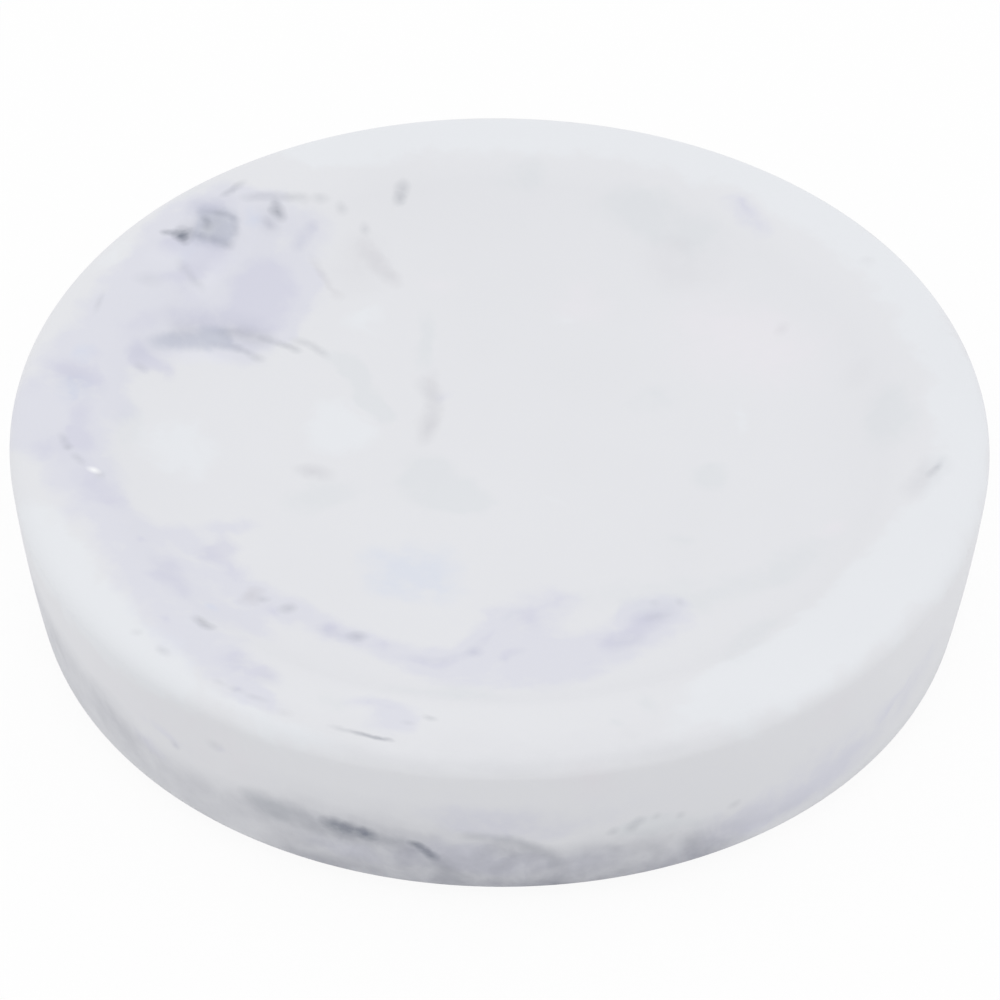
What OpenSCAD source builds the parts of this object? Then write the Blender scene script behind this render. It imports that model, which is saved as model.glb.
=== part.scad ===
// Round soap dish: one solid resin casting with a shallow basin in its top, standing on
// four stick-on rubber bumpers, each held by a disc of double-sided adhesive film.
// Millimetres. +Z is up. The origin lies on the counter under the middle of the dish,
// and -Y is the side that faces the user.

/* [Casting] */
// Diameter of the casting at its widest, just under the rim
dish_d = 110; // [100:1:120]
// Height of the casting alone, from its underside to its rim
dish_h = 21; // [19:0.5:25]
// How far the foot of the wall stands inside the widest diameter
foot_inset = 2.6; // [1.5:0.1:4]
// Radius of the wall's outward bow, seen in section
wall_bow_r = 190; // [130:5:260]
// Rounding between the wall and the rim
rim_edge_r = 2; // [1:0.1:3]
// Rounding where the ground underside meets the wall
foot_edge_r = 0.6; // [0.4:0.1:1.4]

/* [Basin] */
// Width of the flat rim, from its outer rounding to the lip of the basin
rim_land = 4; // [2.5:0.1:6]
// Radius of the rounded lip that rolls from the rim into the basin
lip_r = 12; // [8:0.5:16]
// Radius of the cove that turns the slope into the basin's floor
cove_r = 24; // [16:1:30]
// Depth of the basin in the middle, below the rim
basin_depth = 6; // [5.5:0.1:8]
// How much the dished floor's curve would rise between the middle and the lip
floor_rise = 4; // [3:0.1:4.5]

/* [Bumpers] */
// Diameter of a bumper
pad_d = 10; // [8:0.5:12]
// Height of a bumper without its film
pad_h = 1.5; // [1:0.1:2.5]
// Rounding of a bumper's lower edge
pad_edge_r = 0.4; // [0.2:0.1:0.8]
// Gap between the foot of the wall and the outside of a bumper
pad_margin = 8; // [5:0.5:16]

/* [Adhesive] */
// Thickness of the double-sided film
film_t = 0.2; // [0.1:0.05:0.4]
// How far the film's edge stays inside the bumper's edge
film_inset = 0.3; // [0:0.1:1]

/* [Hidden] */

// Facets of a full turn round the dish's axis, of a bumper, and of the circles in section
turn_fn = 180;
pad_fn = 72;
edge_fn = 180;
arc_fn = 720;
bow_fn = 1440;
floor_fn = 2880;

// The underside of the casting rests on the films, and the films on the bumpers.
film_z = pad_h;
base_z = film_z + film_t;
rim_z = base_z + dish_h;
cut_over = dish_h;

// Unit vector from one point of the section towards another
function towards(a, b) = (b - a) / norm(b - a);
// Centre of a circle of radius r through points a and b, on the left of the way from a to b
function centre_through(a, b, r) =
    let (half = (b - a) / 2, side = [-half[1], half[0]] / norm(half))
    a + half + side * sqrt(r * r - half * half);
// Point at distance ra from a and rb from b, on the left of the way from a to b
function meeting(a, ra, b, rb) =
    let (
        d = norm(b - a),
        along = (ra * ra - rb * rb + d * d) / (2 * d),
        ahead = towards(a, b),
        side = [-ahead[1], ahead[0]]
    )
    a + ahead * along + side * sqrt(ra * ra - along * along);

// Wall: one bowed arc up from the foot to the widest point, with its centre past the axis.
widest = [dish_d / 2, rim_z - rim_edge_r];
foot = [dish_d / 2 - foot_inset, base_z];
wall_c = centre_through(foot, widest, wall_bow_r);

// Centres of the two edge roundings, inside the wall's arc and level with the flats
function rounding_c(r, z) =
    [wall_c[0] + sqrt(pow(wall_bow_r - r, 2) - pow(z - wall_c[1], 2)), z];
rim_edge_c = rounding_c(rim_edge_r, rim_z - rim_edge_r);
foot_edge_c = rounding_c(foot_edge_r, base_z + foot_edge_r);
up_dir = [0, 1];

// Basin: lip, cove and floor are three arcs that touch end to end.
mouth_r = rim_edge_c[0] - rim_land;
floor_r = (mouth_r * mouth_r + floor_rise * floor_rise) / (2 * floor_rise);
lip_c = [mouth_r, rim_z - lip_r];
floor_c = [0, rim_z - basin_depth + floor_r];
cove_c = meeting(lip_c, lip_r + cove_r, floor_c, floor_r - cove_r);

// Bumpers stand on a circle that follows the foot of the wall.
pad_ring_r = foot[0] - pad_margin - pad_d / 2;
film_d = pad_d - 2 * film_inset;

// The corner that a rounding of radius r takes off, between two directions out of its centre c
module corner_off(c, r, dir_a, dir_b) {
    reach = 3 * r;
    difference() {
        polygon([c, c + dir_a * reach, c + (dir_a + dir_b) * reach, c + dir_b * reach]);
        translate(c) circle(r = r, $fn = edge_fn);
    }
}

// Half section of the casting before the basin is taken out
module wall_section() {
    difference() {
        intersection() {
            translate([0, base_z]) square([dish_d, dish_h]);
            translate(wall_c) circle(r = wall_bow_r, $fn = bow_fn);
        }
        corner_off(rim_edge_c, rim_edge_r, towards(wall_c, rim_edge_c), up_dir);
        corner_off(foot_edge_c, foot_edge_r, -up_dir, towards(wall_c, foot_edge_c));
    }
}

// Half section of the basin: the floor's sector, the cove's disc, and the mouth round the lip
module basin_section() {
    floor_dir = towards(floor_c, cove_c);
    intersection() {
        translate([0, base_z]) square([dish_d, dish_h + cut_over]);
        union() {
            intersection() {
                translate(floor_c) circle(r = floor_r, $fn = floor_fn);
                polygon([floor_c, floor_c + floor_dir * floor_r * 2, [0, floor_c[1] - floor_r * 2]]);
            }
            translate(cove_c) circle(r = cove_r, $fn = arc_fn);
            difference() {
                polygon([lip_c, cove_c, [cove_c[0], rim_z + cut_over], [mouth_r, rim_z + cut_over]]);
                translate(lip_c) circle(r = lip_r, $fn = arc_fn);
            }
        }
    }
}

// The one-piece casting
module dish_body() {
    color("whitesmoke")
    rotate_extrude($fn = turn_fn)
    difference() {
        wall_section();
        basin_section();
    }
}

// Puts a bumper or film at its place: sx and sy are the sides of the dish, -1 or 1
module at_corner(sx, sy) {
    translate([sx, sy, 0] * pad_ring_r / sqrt(2)) children();
}

// One moulded bumper: flat on both faces, with its lower edge rounded
module bumper() {
    core_r = pad_d / 2 - pad_edge_r;
    color("gainsboro")
    rotate_extrude($fn = pad_fn)
    union() {
        square([core_r, pad_h]);
        translate([0, pad_edge_r]) square([pad_d / 2, pad_h - pad_edge_r]);
        translate([core_r, pad_edge_r]) circle(r = pad_edge_r, $fn = pad_fn);
    }
}

// One disc of double-sided film between a bumper and the casting
module film() {
    color("linen")
    translate([0, 0, film_z])
    cylinder(d = film_d, h = film_t, $fn = pad_fn);
}

dish_body();
at_corner(1, 1) bumper();  // right_rear_bumper
at_corner(-1, 1) bumper();  // left_rear_bumper
at_corner(-1, -1) bumper();  // left_front_bumper
at_corner(1, -1) bumper();  // right_front_bumper
at_corner(1, 1) film();  // right_rear_film
at_corner(-1, 1) film();  // left_rear_film
at_corner(-1, -1) film();  // left_front_film
at_corner(1, -1) film();  // right_front_film
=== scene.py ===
# %% [markdown]
# A round soap dish, cast in one piece from white marble-look resin, on four clear stick-on
# bumpers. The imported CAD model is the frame: it gives every size and place, and this script
# gives each surface its finish. Lengths in this file are millimetres, as on the maker's
# drawing, and one factor turns them into the metres that Blender works in.

import math

import bpy
from mathutils import Matrix, Vector, noise


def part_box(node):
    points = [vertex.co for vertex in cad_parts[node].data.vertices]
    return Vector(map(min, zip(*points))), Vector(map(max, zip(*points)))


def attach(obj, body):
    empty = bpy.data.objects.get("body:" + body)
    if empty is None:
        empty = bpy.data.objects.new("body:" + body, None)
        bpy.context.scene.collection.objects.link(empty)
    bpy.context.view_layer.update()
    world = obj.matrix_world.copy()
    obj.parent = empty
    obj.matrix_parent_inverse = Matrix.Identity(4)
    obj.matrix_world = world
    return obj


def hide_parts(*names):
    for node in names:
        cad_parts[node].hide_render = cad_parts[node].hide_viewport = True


MM = 0.001

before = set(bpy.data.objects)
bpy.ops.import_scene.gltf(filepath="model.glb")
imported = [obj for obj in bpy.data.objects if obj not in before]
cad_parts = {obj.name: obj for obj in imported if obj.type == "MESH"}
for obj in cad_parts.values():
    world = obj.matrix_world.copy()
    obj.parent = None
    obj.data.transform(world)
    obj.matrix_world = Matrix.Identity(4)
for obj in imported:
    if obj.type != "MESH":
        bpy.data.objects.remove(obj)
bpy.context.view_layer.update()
print("CAD nodes:", ", ".join(sorted(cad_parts)))


def box_mm(node):
    """Lowest and highest corner of a CAD node, in millimetres."""
    low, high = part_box(node)
    return low / MM, high / MM


casting_low, casting_high = box_mm("dish_body")
OUTER_R = casting_high.x
BASE_Z = casting_low.z
RIM_Z = casting_high.z
print(f"casting: {2 * OUTER_R:.1f} mm across, from {BASE_Z:.1f} to {RIM_Z:.1f} mm up")

# %% [markdown]
# The camera comes first, because every other choice is judged through it. The view is a long
# lens a little above 40 degrees, as a catalogue photographer shoots a low dish: from lower
# down the basin would close up, and from higher up the wall would be lost. The camera stands
# on a line from the middle of the rim and aims a little in front of it, which puts the dish
# in the picture as the photograph has it with no lens shift.

# %% Camera
CAMERA_ELEVATION = math.radians(41.86)
CAMERA_DISTANCE = 770
CAMERA_LENS = 248.5
CAMERA_SENSOR = 36
CAMERA_ROLL = math.radians(0.57)
AIM_ACROSS = 0.1
AIM_FRONT = 12.9


def place_camera():
    """Adds the camera and makes it the scene's own."""
    rim_middle = Vector((0, 0, RIM_Z))
    back = Vector((0, -math.cos(CAMERA_ELEVATION), math.sin(CAMERA_ELEVATION)))
    eye = rim_middle + back * CAMERA_DISTANCE
    aim = rim_middle + Vector((AIM_ACROSS, -AIM_FRONT, 0))
    ahead = (aim - eye).normalized()
    level = ahead.cross(Vector((0, 0, 1))).normalized()
    right = Matrix.Rotation(-CAMERA_ROLL, 3, ahead) @ level
    up = right.cross(ahead)
    turn = Matrix((right, up, -ahead)).transposed()
    camera = bpy.data.objects.new("camera", bpy.data.cameras.new("camera"))
    camera.matrix_world = Matrix.Translation(eye * MM) @ turn.to_4x4()
    camera.data.lens = CAMERA_LENS
    camera.data.sensor_width = CAMERA_SENSOR
    bpy.context.scene.collection.objects.link(camera)
    bpy.context.scene.camera = camera
    return camera


camera = place_camera()
print("camera at", [round(v) for v in camera.matrix_world.translation / MM], "mm")

# %% [markdown]
# Every material below is a small graph of nodes. Colours are written as sRGB hex values, the
# way a paint chart gives them, and one function turns them into the linear values that a
# renderer adds up. A second one adds a node of any kind, sets it and wires its inputs, so that
# a finish reads as a list of what it does. A third one makes the material round such a list.

# %% Helpers for materials


def linear(hex_colour):
    """An sRGB hex colour as linear red, green, blue and alpha, by the sRGB standard's curve."""
    parts = [int(hex_colour[i : i + 2], 16) / 255 for i in (1, 3, 5)]
    curve = [c / 12.92 if c <= 0.04045 else ((c + 0.055) / 1.055) ** 2.4 for c in parts]
    return (*curve, 1.0)


def add(tree, kind, inputs=(), **settings):
    """Adds a node, sets it and fills its inputs, given by name or in order from the first.

    An input is a number, a colour, an output, or a node that feeds it by its first output."""
    node = tree.nodes.new(kind)
    for name, value in settings.items():
        setattr(node, name, value)
    pairs = inputs.items() if isinstance(inputs, dict) else enumerate(inputs)
    for socket, value in pairs:
        if isinstance(value, bpy.types.Node):
            value = next(output for output in value.outputs if output.enabled)
        if isinstance(value, bpy.types.NodeSocket):
            tree.links.new(value, node.inputs[socket])
        else:
            node.inputs[socket].default_value = value
    return node


def made_of(name, finish):
    """A material with the surface that finish builds in its tree of nodes."""
    material = bpy.data.materials.new(name)
    material.use_nodes = True
    tree = material.node_tree
    tree.nodes.clear()
    add(tree, "ShaderNodeOutputMaterial", {"Surface": finish(tree)})
    print(f"{name}: {len(tree.nodes)} nodes")
    return material


print(f"middle grey #808080 is {linear('#808080')[0]:.3f} in linear light")

# %% [markdown]
# The dish is poured into a silicone mould, so its skin has no hard lines: the wall bows, the
# rim rolls over, and lip, cove and floor of the basin run into each other. A lathe is the
# right idea for such a form. The section is drawn once, arc by arc, from the middle of the
# basin out over the rim, down the wall and back under the base, and then turned about the
# middle. The CAD solid is built from the same arcs, and the turned mesh is only finer.

# %% Points on an arc and on a straight


def arc(centre, radius, start, end, steps):
    """Points on an arc, from one angle to another, both ends included."""
    angles = [start + (end - start) * i / steps for i in range(steps + 1)]
    return [(centre[0] + radius * math.cos(a), centre[1] + radius * math.sin(a)) for a in angles]


def straight(start, end, steps):
    """Points between two points, without the ends."""
    shares = [i / steps for i in range(1, steps)]
    return [tuple(a + (b - a) * t for a, b in zip(start, end)) for t in shares]


print("a straight in three steps:", [x for x, _ in straight((0, 0), (3, 0), 3)])

# %% The wall's bow and the roundings inside it
WALL_BOW_R = 190
FOOT_INSET = 2.6
RIM_EDGE_R = 2.0
FOOT_EDGE_R = 0.6


def wall_centre():
    """Centre of the wall's bow, which passes through the foot and the widest point."""
    foot = Vector((OUTER_R - FOOT_INSET, BASE_Z))
    widest = Vector((OUTER_R, RIM_Z - RIM_EDGE_R))
    half = (widest - foot) / 2
    inward = Vector((-half.y, half.x)).normalized()
    return foot + half + inward * math.sqrt(WALL_BOW_R**2 - half.length_squared)


def rounding_centre(radius, height):
    """Centre of an edge rounding that touches the wall's bow from inside."""
    middle = wall_centre()
    reach = math.sqrt((WALL_BOW_R - radius) ** 2 - (height - middle.y) ** 2)
    return Vector((middle.x + reach, height))


print("centre of the wall's bow:", [round(v, 1) for v in wall_centre()], "mm")

# %% The casting's section
RIM_LAND = 4.0
LIP_R = 12
COVE_R = 24
BASIN_DEPTH = 6.0
FLOOR_RISE = 4.0
FLOOR_STEPS = 26
COVE_STEPS = 14
LIP_STEPS = 12
LAND_STEPS = 8
RIM_STEPS = 12
WALL_STEPS = 30
FOOT_STEPS = 6
BASE_STEPS = 22


def casting_section():
    """The casting's half section, from the middle of the basin round to the middle of the base."""
    wall = wall_centre()
    rim = rounding_centre(RIM_EDGE_R, RIM_Z - RIM_EDGE_R)
    foot = rounding_centre(FOOT_EDGE_R, BASE_Z + FOOT_EDGE_R)
    mouth_r = rim.x - RIM_LAND
    floor_r = (mouth_r**2 + FLOOR_RISE**2) / (2 * FLOOR_RISE)
    lip = Vector((mouth_r, RIM_Z - LIP_R))
    floor = Vector((0, RIM_Z - BASIN_DEPTH + floor_r))
    across = floor - lip
    near = LIP_R + COVE_R
    along = (near**2 - (floor_r - COVE_R) ** 2 + across.length_squared) / (2 * across.length)
    ahead = across.normalized()
    cove = lip + ahead * along + Vector((-ahead.y, ahead.x)) * math.sqrt(near**2 - along**2)
    up = math.pi / 2
    slope = math.atan2(cove.y - lip.y, cove.x - lip.x)
    to_cove = math.atan2(cove.y - floor.y, cove.x - floor.x)
    to_rim = math.atan2(rim.y - wall.y, rim.x - wall.x)
    to_foot = math.atan2(foot.y - wall.y, foot.x - wall.x)
    points = arc(floor, floor_r, -up, to_cove, FLOOR_STEPS)
    points += arc(cove, COVE_R, to_cove, slope - math.pi, COVE_STEPS)[1:]
    points += arc(lip, LIP_R, slope, up, LIP_STEPS)[1:]
    points += straight((mouth_r, RIM_Z), (rim.x, RIM_Z), LAND_STEPS)
    points += arc(rim, RIM_EDGE_R, up, to_rim, RIM_STEPS)
    points += arc(wall, WALL_BOW_R, to_rim, to_foot, WALL_STEPS)[1:]
    points += arc(foot, FOOT_EDGE_R, to_foot, -up, FOOT_STEPS)[1:]
    points += straight((foot.x, BASE_Z), (0, BASE_Z), BASE_STEPS)
    return points + [(0, BASE_Z)]


section = casting_section()
print(f"section: {len(section)} points, basin floor at {section[0][1]:.1f} mm")

# %% [markdown]
# Blender has a Spin tool and a Screw modifier for turned forms. Here the rings are written out
# instead, because each point can then be shifted on its way round, and because the two ends of
# the section then close on a single point each.

# %% Turn a section about the middle


def as_drawn(point, angle):
    """Leaves a point of the section where it is."""
    return point


def turned(name, points, turns, shift=as_drawn, middle=(0, 0)):
    """Turns a half section that starts and ends on an upright axis through the middle.

    shift takes a point (radius, height) and the angle, and returns the point as made."""
    rings = points[1:-1]
    vertices = [(*middle, points[0][1]), (*middle, points[-1][1])]
    for radius_height in rings:
        for step in range(turns):
            angle = math.tau * step / turns
            radius, height = shift(radius_height, angle)
            x = middle[0] + radius * math.cos(angle)
            y = middle[1] + radius * math.sin(angle)
            vertices.append((x, y, height))
    faces = []
    for step in range(turns):
        after = (step + 1) % turns
        last = 2 + (len(rings) - 1) * turns
        faces.append((0, 2 + step, 2 + after))
        faces.append((1, last + after, last + step))
        for ring in range(len(rings) - 1):
            a = 2 + ring * turns
            faces.append((a + step, a + turns + step, a + turns + after, a + after))
    mesh = bpy.data.meshes.new(name)
    mesh.from_pydata([tuple(c * MM for c in v) for v in vertices], [], faces)
    mesh.polygons.foreach_set("use_smooth", [True] * len(mesh.polygons))
    mesh.update()
    piece = bpy.data.objects.new(name, mesh)
    bpy.context.scene.collection.objects.link(piece)
    print(f"{name}: {len(mesh.vertices)} vertices")
    return piece


# %% [markdown]
# A casting from a soft mould, poured by hand, is never true: the mould spreads a little between
# the boards that hold it, and the resin shrinks unevenly as it sets. So this one is a few tenths
# of a millimetre out of round, in four lobes, and its rim rises and falls by less than a tenth.

# %% Cast the dish
CASTING_TURNS = 300
OUT_OF_ROUND = 0.15
LOBES = 4
HAND_RIPPLE = 0.05
RIPPLE_SIZE = 16


def hand_cast(point, angle):
    """A point of the casting where the hand-poured piece has it, never outside the CAD's box."""
    radius, height = point
    drawn_in = (1 + math.cos(LOBES * angle)) * OUT_OF_ROUND * radius / OUTER_R
    spot = Vector((radius * math.cos(angle), radius * math.sin(angle), height)) / RIPPLE_SIZE
    ripple = (noise.noise(spot) - 1) * HAND_RIPPLE if height > BASE_Z + FOOT_EDGE_R else 0
    return radius - drawn_in, height + ripple


casting = turned("marbled_casting", section, CASTING_TURNS, hand_cast)
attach(casting, "root")
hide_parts("dish_body")
print("casting:", [round(side / MM, 2) for side in casting.dimensions], "mm")

# %% [markdown]
# The marbling is pigment paste, dribbled into the white resin and pulled round with a stick
# before the pour. So it isn't a texture that repeats: each stroke and smear is a trail with a
# beginning and an end. The tables below hold those trails, sorted by pigment, with all lengths
# in millimetres. Some rows are painted light and shade instead of pigment: a lighter band along
# the rim, a darker ring on the lip, a glint, a dark line on the rim's rounding and, in part, the
# darker wall at the foot. A row is a width, a strength and then the points that the trail runs
# through.
# The width is how far the colour reaches to each side, and the strength is how much of it lies
# in the middle. Points on top and under the base are given across and back from the middle of
# the dish, and points on the wall are given round from the front and up from the foot.

# %% Trails of pigment on top
TOP_TRAILS = {
    "chalk_and_rim_light": [
        (8.5, 1, (-36.5, 4), (-35.5, -5)),
        (7.5, 1, (-21, 5), (-14.5, 4.5)),
        (4.5, 0.6, (5, 25), (9, 22)),
        (5, 0.8, (-17, 24), (-14, 21)),
        (2.4, 0.7, (27, 10), (27.5, 3)),
        (1.8, 0.6, (5, -6), (7.5, -7)),
        # The chalk rows from here to the end of this list trace the rim all round. They are
        # painted light, not pigment: a lighter band where the rim sees more of the dome.
        (7, 1.1, (-53, -14), (-49, -23), (-43, -33), (-35, -41)),
        (4, 0.6, (-34, -41), (-25, -48), (-15, -52)),
        (4, 0.7, (-47, 25), (-42, 33)),
        (6.5, 1, (-26, 46), (-14, 49), (0, 51), (14, 50), (26, 45), (37, 37), (45, 26), (50, 13)),
        (6.5, 1, (50, 13), (52, 2), (51, -10), (47, -22), (40, -32), (31, -41), (20, -48)),
        (5, 0.9, (44, -16), (38, -27), (30, -36), (22, -43)),
    ],
    "pink": [
        (11, 0.8, (20, 23), (28, 19), (36, 13)),
        (6, 0.8, (7, 28), (12, 24)),
        (4, 0.6, (-8, 30), (-7, 27)),
        (3.5, 0.7, (37, -12), (37, -15)),
    ],
    "cool_and_lip_shade": [
        # The cool rows that ring the basin's lip, about 41 to 46 mm from the middle on every side,
        # are painted shade on the slope down into the basin. The other cool rows are grey-green
        # marbling.
        (3, 1, (-19.5, 17), (-16.5, 13.5), (-14, 9.5), (-12.5, 6)),
        (5, 0.7, (-9, 1), (-8, -3), (-5.5, -5), (-2, -5.5)),
        (4, 0.5, (-12, -5), (-6, -7), (0, -7.5)),
        (4.5, 0.6, (-24, -9), (-20, -6), (-15, -5)),
        (7, 0.6, (17, 13), (18, 8)),
        (4, 0.5, (23, -3), (25, -5)),
        (5, 0.8, (43, 8), (44.5, 3), (43, -2)),
        (6, 0.7, (2, 46), (3, 42)),
        (6, 0.8, (12, 41), (18, 38), (25, 33)),
        (6, 0.6, (8, -23), (20, -24), (30, -21), (37, -15)),
        (4.5, 0.6, (24, -38), (27, -33), (30, -28)),
        (2.5, 0.7, (16, -46), (16, -42)),
        (2.2, 0.7, (12.8, -48.5), (13, -47)),
        (4, 0.6, (1, -42), (-4, -41), (-12, -42)),
        (4, 0.5, (-42, 6), (-41, 1), (-42, -4)),
        (4.5, 0.7, (-38, 29.5), (-35, 28)),
        (3, 0.6, (-40, 38), (-34, 41)),
        (2, 0.8, (-44.2, -8.8), (-43.6, -9.4)),
        (3, 0.6, (-17.5, -43), (-17, -46)),
        (2, 0.8, (-8.8, 24), (-9, 15)),
        (3, 0.6, (21, -1), (24, -4)),
        (3, 0.6, (19, -12), (22, -15)),
        (2.5, 0.8, (0.8, -25.8), (1.4, -27.2)),
    ],
    "haze": [
        (8, 1.2, (-49, 6), (-46, 12), (-41, 18), (-38, 25), (-34, 31)),
        (6.5, 0.9, (-45, 19), (-40, 26), (-37, 31)),
        (9, 0.9, (-30, 31), (-26, 27), (-25, 23)),
        (5, 0.7, (-34, 38), (-29, 36), (-24, 36), (-20, 35)),
        (6, 0.9, (-40, 14), (-34, 19), (-28, 21)),
        (5, 0.8, (-31, 15.5), (-27.5, 17)),
        (5, 1, (-52.5, 6), (-53, 1), (-52, -5)),
        (7, 1.1, (-47.5, 3), (-47, -3), (-46, -9), (-44, -14)),
        (6.5, 0.9, (-44, -14), (-41.5, -20), (-38.5, -26), (-35, -32), (-31, -38), (-26, -42)),
        (6, 0.8, (-37, -18), (-33, -24), (-29, -29), (-25, -32)),
        (4, 0.7, (-40, -16), (-35, -16), (-32, -14.6)),
        (2.4, 0.75, (-32, -14.2), (-29, -12.4), (-26, -12.4)),
        (4, 0.8, (-31, -19), (-27.5, -23.5), (-23, -26.5), (-19, -29.5), (-15, -31)),
        (4, 0.8, (-15, -31), (-11, -33), (-6, -34.5), (-2, -32.5), (-0.8, -29), (-1, -25.5)),
        (5, 0.5, (-11, -35.5), (-5, -38), (1, -39)),
        (8.5, 0.9, (0, -32), (4, -35.5), (8, -36)),
        (5.5, 0.8, (1, -28), (4, -25.5), (8, -22.5)),
        (6.5, 0.9, (8, -35), (12, -32), (15.5, -29), (18.5, -26)),
        (3.5, 0.8, (15, -25.5), (20.5, -25)),
        (3, 0.8, (-16, -44), (-12, -45.5), (-9, -47.5)),
        (2.6, 0.8, (-28, -43), (-25, -45), (-22.6, -46.6)),
        (3, 0.7, (-14, -49), (-10, -48.5)),
        (3, 0.8, (26.5, 40), (28.5, 37), (30.5, 34)),
        (2.5, 0.6, (-7, 12), (-6, 9.5)),
        (3.5, 0.5, (-23, 31), (-22, 28)),
        (4, 0.8, (-39, 33.6), (-37, 35.6), (-34.5, 37.6)),
        (3.5, 0.9, (-33, 38.2), (-30, 38), (-26.5, 37.8)),
        (4.5, 1, (-30.2, 35), (-28.8, 31)),
        (3.5, 0.8, (-29, 19), (-26.4, 19.6), (-24, 19.4)),
        (3.6, 0.8, (-25, 24), (-24.2, 20)),
        (3, 0.7, (-45, 9), (-43, 5), (-41.5, 2)),
    ],
    "violet": [
        (3, 1, (-39, 30.2), (-36.4, 29.9), (-33.6, 29.8), (-31, 30.4)),
        (2.4, 0.5, (-27.4, 21), (-24.8, 20)),
        (3, 0.75, (-48, 5), (-46.6, 1), (-47, -3), (-46.3, -8)),
        (2.2, 0.6, (-38.6, 12.4), (-36.4, 10.6)),
        (2.2, 0.6, (-47, 12), (-45, 10)),
        (6, 1, (-30, 27), (-27, 24.5), (-25, 22)),
        (4, 0.7, (-27.5, 31), (-25.5, 27)),
        (4, 0.9, (-36, 20), (-32, 21.5), (-28, 21)),
        (3.2, 0.8, (-33.5, 29.5), (-35.5, 26.5), (-37, 24)),
        (3, 0.6, (-43.5, 14), (-40, 18), (-36, 21.5)),
        (2.4, 1, (-40.2, 14), (-41, 11.5), (-40, 10.3)),
        (2.8, 0.6, (-41.5, 24), (-37.5, 24.4)),
        (2, 0.6, (-40, 12), (-37.5, 11)),
        (3.2, 0.9, (-50.5, 9.2), (-48, 8.5), (-46.5, 6.5), (-44.5, 7)),
        (3, 0.6, (-52.5, 8), (-52, 3)),
        (3, 0.8, (-50.5, -3), (-49.5, -7)),
        (4.5, 0.8, (-46.5, -9), (-44, -11.5), (-43, -14.5)),
        (2.5, 0.7, (-47, -2), (-45, -4)),
        (1.2, 0.9, (-39.7, -18.2), (-38.6, -18.6)),
        (2.8, 0.9, (-30.8, -14.6), (-29.9, -17), (-30.4, -20)),
        (2.6, 0.5, (-33.4, -17), (-32, -19.4)),
        (1.8, 0.6, (-30, -20.6), (-28, -22.6)),
        (3, 0.75, (-37, -20.5), (-35.8, -24), (-34.2, -27.6)),
        (2, 0.7, (-38.5, -25), (-36.5, -25.5)),
        (1, 0.8, (-35.8, -32), (-35.4, -33.3)),
        (3.6, 0.8, (-30, -37.2), (-27.4, -38.8), (-24, -41)),
        (2.4, 0.5, (-26, -40), (-23.3, -42)),
        (2, 0.7, (-25, -26), (-24.4, -28.3)),
        (2, 0.9, (-19, -29), (-17.5, -30)),
        (2.2, 0.7, (-13.8, -31), (-11.3, -33)),
        (1.5, 0.7, (-10, -34), (-6, -34.6), (-3.5, -33.3)),
        (1.2, 0.7, (-1.4, -31), (-0.9, -28.5)),
        (3.2, 0.9, (1.8, -27.6), (4.4, -25.6)),
        (1.3, 0.6, (4.5, -24.5), (8, -22.7)),
        (1.3, 0.7, (0.4, -34.2), (1.5, -33.1), (2.7, -32.3)),
        (1.5, 0.6, (8.3, -35.2), (11, -34.4)),
        (3.4, 0.9, (11.5, -32), (13.6, -30.6), (15.6, -28.4), (17.6, -26.4)),
        (1.5, 0.45, (-15, -44.5), (-13, -45.2), (-10, -46.5)),
        (0.9, 0.8, (-28.6, -42.9), (-27.3, -43.3)),
        (1.2, 0.8, (27, 39.5), (29, 36.5)),
        (1.2, 0.7, (-36.8, 27.8), (-35.5, 27), (-34.2, 26.3)),
    ],
    "blue": [
        (5.2, 0.66, (-12.2, -14), (-12.4, -19.5), (-12, -25)),
        (5.4, 0.68, (-7.2, -14), (-6.6, -19.5), (-6.4, -25)),
        (4.5, 0.9, (-48.6, 6.6), (-46.8, 3.4)),
        (3, 0.8, (-47.5, 11.5), (-46.8, 10.5)),
        (3.5, 0.7, (-29.5, 36), (-27.5, 35.5)),
        (3, 0.6, (-37.5, 29.3), (-36, 28.8)),
        (2.5, 0.7, (-32, -28.5), (-31, -28.3)),
    ],
    "warm": [
        (6, 0.34, (-18.5, 31.5), (-15, 30.5)),
        (2, 0.2, (-18, 35), (-16.5, 33.5)),
        (0.9, 0.5, (-21.7, 31.8), (-20.8, 29.8), (-19.8, 28), (-18.8, 26.2)),
        (1.7, 0.6, (-16.2, 34.4), (-14.8, 32.4), (-13.6, 30.5), (-12.2, 28.8)),
        (2, 1.15, (-27.3, -24.4), (-26.2, -25)),
        (5.5, 0.2, (17, 32.5), (21, 31), (23, 29)),
        (1.5, 0.25, (19.5, 34.2), (21.5, 33.8)),
        (2.6, 0.2, (39, 12), (41, 10)),
        (1.3, 0.4, (31.5, 21), (32, 20)),
        (1.3, 0.3, (41, 28.2), (41.8, 27.8)),
        (1.6, 0.5, (-9, 13), (-7.5, 13.9)),
        (1.6, 0.4, (-7.8, 12.5), (-7.4, 9.5), (-7.9, 6.5), (-8.6, 3.7)),
        (1.9, 0.5, (-22, -2.6), (-19.2, -2.9)),
        (1, 0.6, (-44.8, -8.6), (-43.6, -9)),
    ],
    "smoke_and_painted_shade": [
        (3.2, 0.16, (-34.4, 34.4), (-31.6, 34.2)),
        (2.6, 0.1, (-34.6, 32), (-30.8, 31.8)),
        (1.6, 0.18, (-37, 33.2), (-35.4, 33.3)),
        (3, 0.06, (-38, 18), (-35.6, 19.6), (-33, 20.6), (-30, 20.4), (-27, 19.8)),
        (1.6, 0.1, (-8.8, 13), (-7.4, 10.8), (-7.8, 7), (-8.6, 3.6)),
        (1.8, 0.1, (-22, -2.6), (-19.2, -2.9)),
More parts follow.
